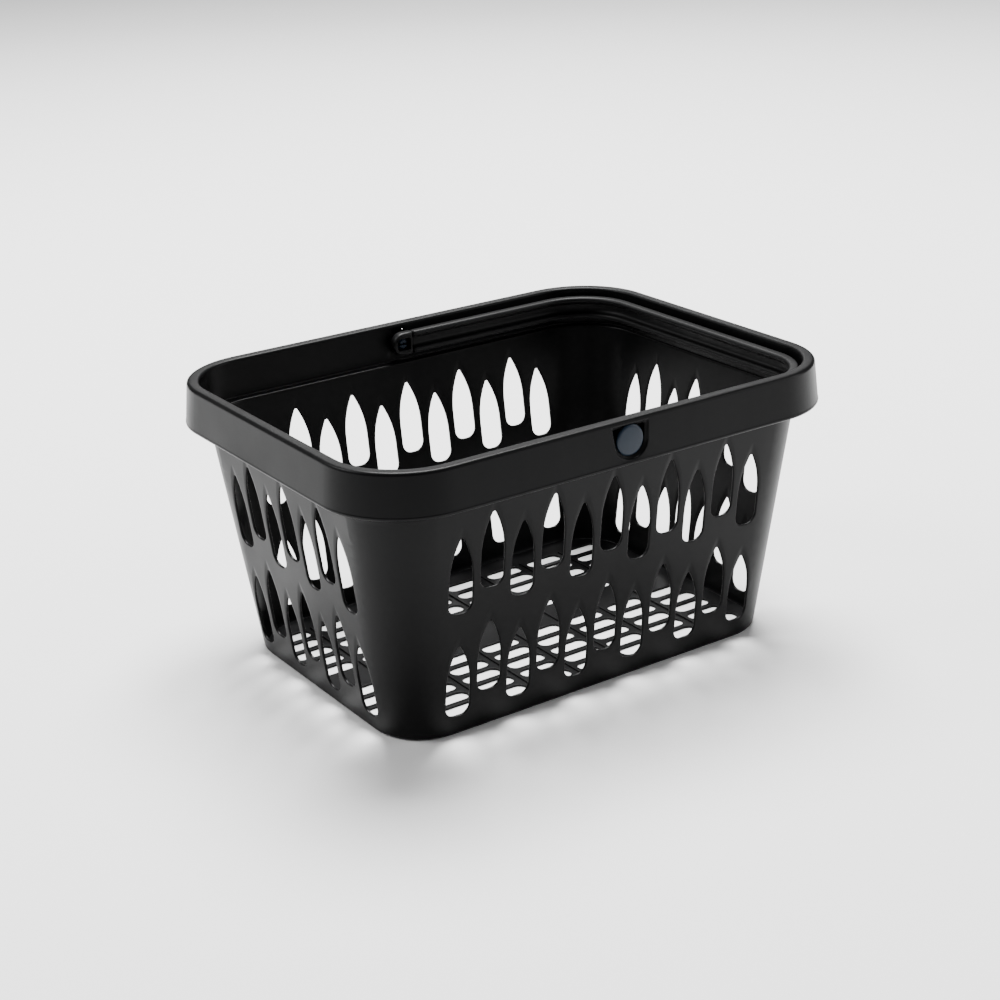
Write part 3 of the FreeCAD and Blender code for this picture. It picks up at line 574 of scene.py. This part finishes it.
def add_pivot_house(soup, side):
    """The recess, boss, bore and window of one long side, between the rim's outer and inner faces."""
    stations = [s for s in LONG_STATIONS if abs(s) <= PATCH_HALF + 1e-6]
    out = RIM_HALF_Y

    def on_face(u, z):
        return turn(side, u, out - face_inset(z), z)

    border = [(s, FACE_LOW) for s in stations] + [(s, FACE_HIGH) for s in reversed(stations)]
    fill(soup, border, [recess_outline(0.0, MOUTH[0][0])], on_face)
    back = LAND - RIM_WALL
    rows = []
    for grow, deep in MOUTH + SHELF:
        rows.append([turn(side, u, out - face_inset(z) - deep, z) for u, z in recess_outline(0.0, grow)])
    for part, grow, deep in ((0.92, 0.0, back - 0.8), (1.0, -0.1, back - 0.1), (1.0, -0.4, back)):
        rows.append([turn(side, u, out - deep, z) for u, z in recess_outline(part, grow)])
    soup.strips(rows, closed=True)
    boss_face = HEAD_SINK + HEAD_THICK + 0.3
    boss_foot = circle(BOSS_RADIUS + 0.5)
    window = []
    corners = ((-1, WINDOW_LOW), (1, WINDOW_LOW), (1, WINDOW_HIGH), (-1, WINDOW_HIGH))
    for (x0, z0), (x1, z1) in zip(corners, corners[1:] + corners[:1]):
        window.extend((WINDOW_HALF * (x0 + (x1 - x0) * i / 4), z0 + (z1 - z0) * i / 4) for i in range(4))
    fill(soup, recess_outline(1.0, -0.4), [boss_foot, window], lambda u, z: turn(side, u, out - back, z))
    boss = ((BOSS_RADIUS + 0.5, back), (BOSS_RADIUS + 0.1, back - 0.2), (BOSS_RADIUS, back - 0.6),
            (BOSS_RADIUS, boss_face + 0.4), (BOSS_RADIUS - 0.4, boss_face), (BORE_RADIUS + 0.3, boss_face),
            (BORE_RADIUS, boss_face + 0.3), (BORE_RADIUS, LAND))
    rows = [[turn(side, u, out - inset, z) for u, z in circle(radius)] for radius, inset in boss]
    soup.strips(rows, closed=True)
    border = [(s, WALL_LOW) for s in stations] + [(s, WALL_HIGH) for s in reversed(stations)]
    fill(soup, border, [circle(BORE_RADIUS), window], lambda u, z: turn(side, u, out - LAND, z))
    soup.strips([[turn(side, u, out - inset, z) for u, z in window] for inset in (back, LAND)], closed=True)


def add_rim(soup):
    """The hollow rim with its flared skirt, the ledge inside it and the two pivot houses."""
    rows = [ring(tub_size, 0.0, RIM_FOOT), ring(rim_size, LAND - RIM_WALL, RIM_FOOT)]
    rows.append(ring(rim_size, LAND - RIM_WALL, CEILING, ceiling))
    rows.append(ring(rim_size, RIM_WALL + face_inset(CEILING), CEILING, ceiling))
    rows.extend(ring(rim_size, inset, z) for inset, z in LIP)
    rows.append(ring(rim_size, face_inset(FACE_LOW), FACE_LOW))
    soup.strips(rows, closed=True)
    faces = [ring(rim_size, face_inset(z), z) for z in (FACE_LOW, FACE_HIGH)]
    walls = [ring(rim_size, LAND, z) for z in (WALL_HIGH, WALL_LOW)]
    holes = [station_span(side, -PATCH_HALF, PATCH_HALF) for side in ("front", "rear")]
    for low, high in (faces, walls):
        for i in range(len(low)):
            if not any(a <= i < b for a, b in holes):
                j = (i + 1) % len(low)
                soup.face((low[i], low[j], high[j], high[i]))
    rows = []
    for step in range(6):
        angle = QUARTER * step / 5
        inset = face_inset(FACE_HIGH) + EDGE_OUT * (1 - math.cos(angle))
        rows.append(ring(rim_size, inset, FACE_HIGH + EDGE_OUT * math.sin(angle)))
    rows.append(ring(rim_size, LAND_MIDDLE, RIM_TOP))
    for step in range(8):
        angle = QUARTER * step / 7
        inset = LAND - EDGE_IN + EDGE_IN * math.sin(angle)
        rows.append(ring(rim_size, inset, WALL_HIGH + EDGE_IN * math.cos(angle)))
    soup.strips(rows, closed=True)
    rows = [ring(rim_size, LAND + inset, z) for inset, z in LEDGE_ROOT]
    rows += [ring(tub_size, inset, LEDGE_TOP - drop) for inset, drop in LEDGE_NOSE]
    rows.append(ring(tub_size, WALL, RIM_FOOT))
    soup.strips(rows, closed=True)
    for side in ("front", "rear"):
        add_pivot_house(soup, side)


def rounded_block(soup, low, high, edge):
    """A small block with rounded edges, as a stack of rounded-rectangle rings."""
    half = [(b - a) / 2 for a, b in zip(low, high)]
    middle = [(a + b) / 2 for a, b in zip(low, high)]
    rows = []
    for sign, steps in ((-1, range(4)), (1, range(3, -1, -1))):
        for step in steps:
            angle = QUARTER * step / 3
            shrink = edge * (1 - math.sin(angle))
            z = middle[2] + sign * (half[2] - edge * (1 - math.cos(angle)))
            row = []
            for quarter, (sx, sy) in enumerate(((1, 1), (-1, 1), (-1, -1), (1, -1))):
                for turn_step in range(4):
                    a = QUARTER * (quarter + turn_step / 3)
                    reach = edge - shrink * 0.999
                    row.append((middle[0] + sx * (half[0] - edge) + reach * math.cos(a),
                                middle[1] + sy * (half[1] - edge) + reach * math.sin(a), z))
            rows.append(row)
    soup.strips(rows, closed=True)
    soup.face(rows[0])
    soup.face(rows[-1])


# ---- the handle -------------------------------------------------------------------------------

def bar_section():
    """The C section as (inset, z), with a fat round bead along each flange that flows into the web."""
    lower = [(BAR_OUT, BAR_LOW + 1.4), (BAR_OUT + 0.4, BAR_LOW + 0.4), (BAR_OUT + 1.4, BAR_LOW)]
    centre = BAR_IN - BEAD
    for step in range(13):
        angle = -QUARTER + 2 * QUARTER * step / 12 * 0.97
        lower.append((centre + BEAD * math.cos(angle), BAR_LOW + BEAD + BEAD * math.sin(angle)))
    inner = BAR_OUT + WEB
    for step in range(1, 6):
        angle = QUARTER * step / 5
        z = BAR_LOW + 2 * BEAD + COVE * (1 - math.cos(angle)) + 0.1
        lower.append((inner + COVE * (1 - math.sin(angle)), z))
    upper = [(d, BAR_LOW + BAR_HIGH - z) for d, z in reversed(lower)]
    return lower + [(inner, PIVOT_Z - 0.5), (inner, PIVOT_Z + 0.5)] + upper


def handle_path(inset, z):
    """One lengthwise line of the bail, from the front hub round the right-hand end to the rear hub."""
    row = []
    for side in ("front", "right", "rear"):
        along = side_row(rim_size, side, inset, z)
        if side == "front":
            along = [(HUB_REACH - HUB_LAP, along[0][1])] + [p for p in along if p[0] > HUB_REACH + 1]
        if side == "rear":
            along = [p for p in along if p[0] < -HUB_REACH - 1] + [(-HUB_REACH + HUB_LAP, along[0][1])]
        row.extend(turn(side, u, n, z) for u, n in along)
        if side != "rear":
            bend = corner_row(rim_size, side, inset, z, 1, ARC_STEPS - 1)
            row.extend(turn(side, u, n, z) for u, n in bend)
    return row


def hub_outline(shrink):
    """A hub seen along the pivot: a half round away from the bar, square towards it."""
    radius = (BAR_HIGH - BAR_LOW) / 2 - shrink
    angles = [QUARTER * (1 + step / 10) for step in range(21)]
    loop = [(radius * math.cos(angle), PIVOT_Z + radius * math.sin(angle)) for angle in angles]
    right, corner = HUB_REACH - shrink, HUB_CORNER
    loop += [(right / 2, PIVOT_Z - radius), (right - corner, PIVOT_Z - radius),
             (right, PIVOT_Z - radius + corner), (right, PIVOT_Z - radius / 2), (right, PIVOT_Z),
             (right, PIVOT_Z + radius / 2), (right, PIVOT_Z + radius - corner),
             (right - corner, PIVOT_Z + radius), (right / 2, PIVOT_Z + radius)]
    return loop


def pocket_outline(grow):
    """The hub pocket's rounded rectangle."""
    corner = POCKET_CORNER
    out = []
    for quarter, (sx, sz) in enumerate(((1, 1), (-1, 1), (-1, -1), (1, -1))):
        for step in range(4):
            angle = QUARTER * (quarter + step / 3)
            out.append((sx * (POCKET_HALF_X - corner) + (corner + grow) * math.cos(angle),
                        PIVOT_Z + sz * (POCKET_HALF_Z - corner) + (corner + grow) * math.sin(angle)))
    return out


def add_hub(soup, side):
    """One end of the handle: a rounded block with the stud's bore and an open pocket inside."""
    mirror = 1 if side == "front" else -1

    def at(inset):
        return lambda u, z: turn(side, mirror * u, RIM_HALF_Y - inset, z)

    def rows(*steps):
        soup.strips([[at(inset)(u, z) for u, z in loop] for loop, inset in steps], closed=True)

    edge = ((HUB_EDGE, 0.0), (0.3, 0.25), (0.0, HUB_EDGE))
    steps = [(hub_outline(shrink), BAR_OUT + deep) for shrink, deep in edge]
    for step in range(6):
        angle = QUARTER * step / 5
        steps.append((hub_outline(BEAD * (1 - math.cos(angle))), BAR_IN - BEAD * (1 - math.sin(angle))))
    rows(*steps)
    fill(soup, hub_outline(HUB_EDGE), [circle(BORE_RADIUS)], at(BAR_OUT))
    fill(soup, hub_outline(BEAD), [pocket_outline(0.4)], at(BAR_IN))
    floor = BAR_OUT + WEB
    rows((pocket_outline(0.4), BAR_IN), (pocket_outline(0.12), BAR_IN - 0.12),
         (pocket_outline(0.0), BAR_IN - 0.4), (pocket_outline(0.0), floor))
    fill(soup, pocket_outline(0.0), [circle(BORE_RADIUS)], at(floor))
    rows((circle(BORE_RADIUS), floor), (circle(BORE_RADIUS), BAR_OUT))


def make_handle():
    """The bail: one C section bent round the right-hand end of the rim, with a hub at each end."""
    soup = Soup()
    section = bar_section()
    rows = [handle_path(inset, z) for inset, z in section]
    soup.strips(rows + [rows[0]])
    for end in (0, -1):
        soup.face([row[end] for row in rows])
    add_hub(soup, "front")
    add_hub(soup, "rear")
    return soup.build("handle_bail")


# ---- the studs --------------------------------------------------------------------------------

def make_stud(side):
    """A snap-in pivot: a faintly crowned round head, a shank, and two barbed prongs."""
    soup = Soup()
    out = RIM_HALF_Y
    face = HEAD_SINK
    radius = HEAD_RADIUS
    flat = radius - HEAD_EDGE
    sphere = (flat * flat + HEAD_CROWN * HEAD_CROWN) / (2 * HEAD_CROWN)
    profile = [(0.35, face)]
    for step in range(1, 11):
        r = flat * step / 10
        profile.append((r, face + sphere - math.sqrt(sphere * sphere - r * r)))
    edge = profile[-1][1]
    for step in range(1, 7):
        angle = QUARTER * step / 6
        profile.append((flat + HEAD_EDGE * math.sin(angle),
                        edge + HEAD_EDGE_DEEP * (1 - math.cos(angle)) + 0.1))
    profile += [(radius, face + HEAD_THICK - 0.3), (radius - 0.3, face + HEAD_THICK),
                (STUD_RADIUS + 0.4, face + HEAD_THICK), (STUD_RADIUS, face + HEAD_THICK + 0.4)]
    split_base = BAR_OUT + WEB + TIP_LENGTH - SPLIT_LENGTH
    profile.append((STUD_RADIUS, split_base))
    rows = [[turn(side, u, out - inset, z) for u, z in circle(r, HEAD_STEPS)] for r, inset in profile]
    soup.strips(rows, closed=True)
    soup.face(rows[0])
    soup.face(rows[-1])
    barb = BAR_OUT + WEB + 0.2
    tip = barb + TIP_LENGTH
    prong = ((STUD_RADIUS, split_base - 0.2), (STUD_RADIUS, barb), (STUD_RADIUS + BARB_OUT / 2, barb + 0.1),
             (STUD_RADIUS + BARB_OUT, barb + 0.4), (STUD_RADIUS + BARB_OUT, barb + 0.8),
             (STUD_RADIUS - 0.2, tip - 0.8), (STUD_RADIUS - 1.0, tip - 0.15), (STUD_RADIUS - 1.3, tip))
    for sign in (-1, 1):
        rows = []
        for r, inset in prong:
            start = math.asin(SPLIT_HALF / r)
            row = []
            for step in range(17):
                angle = start + (2 * QUARTER - 2 * start) * step / 16
                z = PIVOT_Z + sign * r * math.sin(angle)
                row.append(turn(side, r * math.cos(angle), out - inset, z))
            rows.append(row)
        soup.strips(rows, closed=True)
        soup.face(rows[0])
        soup.face(rows[-1])
    return soup.build(side + "_stud")


# ---- materials --------------------------------------------------------------------------------

STREAK_STRETCH = (38.0, 38.0, 2.2)  # flow streaks run up the walls
CLOUD_SCALE, GRAIN_SCALE, GRAIN_HEIGHT = 16.0, 1500.0, 0.00006


def plastic(name, colour, roughness, spread_of_rough, grain, streaks, shine):
    """Moulded plastic: fine spark-eroded grain, faint flow streaks and uneven gloss."""
    material = bpy.data.materials.new(name)
    material.use_nodes = True
    nodes, links = material.node_tree.nodes, material.node_tree.links
    nodes.clear()
    output = nodes.new("ShaderNodeOutputMaterial")
    shader = nodes.new("ShaderNodeBsdfPrincipled")
    links.new(shader.outputs[0], output.inputs[0])
    shader.inputs["IOR"].default_value = 1.5
    shader.inputs["Specular IOR Level"].default_value = shine
    place = nodes.new("ShaderNodeTexCoord")
    stretch = nodes.new("ShaderNodeMapping")
    stretch.inputs["Scale"].default_value = STREAK_STRETCH
    links.new(place.outputs["Object"], stretch.inputs[0])
    streak = nodes.new("ShaderNodeTexNoise")
    streak.inputs["Scale"].default_value = 1.0
    streak.inputs["Detail"].default_value = 3.0
    links.new(stretch.outputs[0], streak.inputs["Vector"])
    cloud = nodes.new("ShaderNodeTexNoise")
    cloud.inputs["Scale"].default_value = CLOUD_SCALE
    cloud.inputs["Detail"].default_value = 4.0
    links.new(place.outputs["Object"], cloud.inputs["Vector"])
    fine = nodes.new("ShaderNodeTexNoise")
    fine.inputs["Scale"].default_value = GRAIN_SCALE
    fine.inputs["Detail"].default_value = 2.0
    links.new(place.outputs["Object"], fine.inputs["Vector"])
    tone = nodes.new("ShaderNodeValToRGB")
    tone.color_ramp.elements[0].position = 0.3
    tone.color_ramp.elements[0].color = (*[c * (1 - streaks) for c in colour], 1)
    tone.color_ramp.elements[1].position = 0.72
    tone.color_ramp.elements[1].color = (*[c * (1 + streaks) for c in colour], 1)
    links.new(streak.outputs["Fac"], tone.inputs["Fac"])
    links.new(tone.outputs["Color"], shader.inputs["Base Color"])
    gloss = nodes.new("ShaderNodeMapRange")
    gloss.inputs["From Min"].default_value = 0.3
    gloss.inputs["From Max"].default_value = 0.7
    gloss.inputs["To Min"].default_value = roughness - spread_of_rough
    gloss.inputs["To Max"].default_value = roughness + spread_of_rough
    links.new(cloud.outputs["Fac"], gloss.inputs["Value"])
    links.new(gloss.outputs["Result"], shader.inputs["Roughness"])
    bump = nodes.new("ShaderNodeBump")
    bump.inputs["Strength"].default_value = grain
    bump.inputs["Distance"].default_value = GRAIN_HEIGHT
    links.new(fine.outputs["Fac"], bump.inputs["Height"])
    links.new(bump.outputs["Normal"], shader.inputs["Normal"])
    return material


black = plastic("black_plastic", (0.0022, 0.0022, 0.0024), roughness=0.36, spread_of_rough=0.05,
                grain=0.35, streaks=0.25, shine=0.1)
handle_black = plastic("handle_plastic", (0.0026, 0.0026, 0.0028), roughness=0.46, spread_of_rough=0.05,
                       grain=0.35, streaks=0.2, shine=0.16)
blue_grey = plastic("stud_plastic", (0.0055, 0.012, 0.022), roughness=0.3, spread_of_rough=0.04,
                    grain=0.25, streaks=0.15, shine=0.2)

# ---- the pieces -------------------------------------------------------------------------------

soup = Soup()
for wall_side in SIDES:
    add_wall(soup, wall_side)
add_corners(soup)
add_floor(soup)
add_rim(soup)
for end in (-1, 1):
    xs = sorted((end * (RIM_HALF_X - LAND + REST_EDGE), end * (RIM_HALF_X - LAND - REST_DEEP)))
    rounded_block(soup, (xs[0], -REST_HALF, LEDGE_TOP - REST_SINK),
                  (xs[1], REST_HALF, LEDGE_TOP + REST_TALL), REST_EDGE)
moulding = soup.build("basket_moulding")
moulding.data.materials.append(black)
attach(moulding, "root")
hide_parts("floor_grille", "front_wall", "rear_wall", "left_wall", "right_wall",
            "front_left_corner", "front_right_corner", "rear_left_corner", "rear_right_corner",
            "handle_ledge", "rim")

bail = make_handle()
bail.data.materials.append(handle_black)
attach(bail, "handle_body")
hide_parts("handle")

for stud_side in ("front", "rear"):
    stud = make_stud(stud_side)
    stud.data.materials.append(blue_grey)
    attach(stud, "handle_body")
    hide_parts(stud_side + "_pivot_stud")

# ---- floor, light and camera ------------------------------------------------------------------

GROUND_HALF = 6
ground = bpy.data.meshes.new("ground")
corners = [(x * GROUND_HALF, y * GROUND_HALF, 0) for x, y in ((-1, -1), (1, -1), (1, 1), (-1, 1))]
ground.from_pydata(corners, [], [(0, 1, 2, 3)])
ground_object = bpy.data.objects.new("ground", ground)
bpy.context.scene.collection.objects.link(ground_object)
pale = bpy.data.materials.new("pale_floor")
pale.use_nodes = True
pale.node_tree.nodes["Principled BSDF"].inputs["Base Color"].default_value = (0.9, 0.9, 0.9, 1)
pale.node_tree.nodes["Principled BSDF"].inputs["Roughness"].default_value = 0.9
ground.materials.append(pale)

world = bpy.data.worlds.new("studio")
world.use_nodes = True
world.node_tree.nodes["Background"].inputs["Color"].default_value = (1, 1, 1, 1)
world.node_tree.nodes["Background"].inputs["Strength"].default_value = 0.2
bpy.context.scene.world = world


def aim(thing, place, target):
    """Puts a lamp at a place, facing a target, both in metres."""
    way = Vector(target) - Vector(place)
    thing.matrix_world = Matrix.Translation(place) @ way.to_track_quat("-Z", "Y").to_matrix().to_4x4()
    bpy.context.scene.collection.objects.link(thing)


def soft_box(name, place, target, size, power):
    """A rectangular studio lamp, its size in metres and its power in watts."""
    data = bpy.data.lights.new(name, "AREA")
    data.shape = "RECTANGLE"
    data.size, data.size_y = size
    data.energy = power
    aim(bpy.data.objects.new(name, data), place, target)


soft_box("key", (0.9, 1.2, 3.8), (0, 0.2, 0), (2.4, 2.4), 600)
soft_box("front_low", (1.7, -1.3, 0.75), (0.1, -0.1, 0.05), (0.9, 0.6), 14)
soft_box("left_fill", (-2.2, 1.6, 2.4), (-0.5, 0.6, 0), (1.4, 1.4), 70)
soft_box("rear_box", (1.9, 2.9, 1.45), (0, 0, 0.2), (1.8, 0.6), 10)

CAMERA_PLACE = (-0.8171, -1.2217, 0.6962)
CAMERA_BACK = (-0.51496, -0.77495, 0.36644)  # from the object towards the camera
CAMERA_RIGHT = (0.82486, -0.56430, -0.03421)
LENS, SENSOR = 69.275, 36.0

view = bpy.data.cameras.new("camera")
view.lens, view.sensor_width = LENS, SENSOR
view.clip_end = 50
camera = bpy.data.objects.new("camera", view)
back = Vector(CAMERA_BACK).normalized()
right = Vector(CAMERA_RIGHT)
right = (right - back * right.dot(back)).normalized()
up = back.cross(right)
camera.matrix_world = Matrix.Translation(CAMERA_PLACE) @ Matrix((right, up, back)).transposed().to_4x4()
bpy.context.scene.collection.objects.link(camera)
bpy.context.scene.camera = camera

bpy.context.view_layer.update()
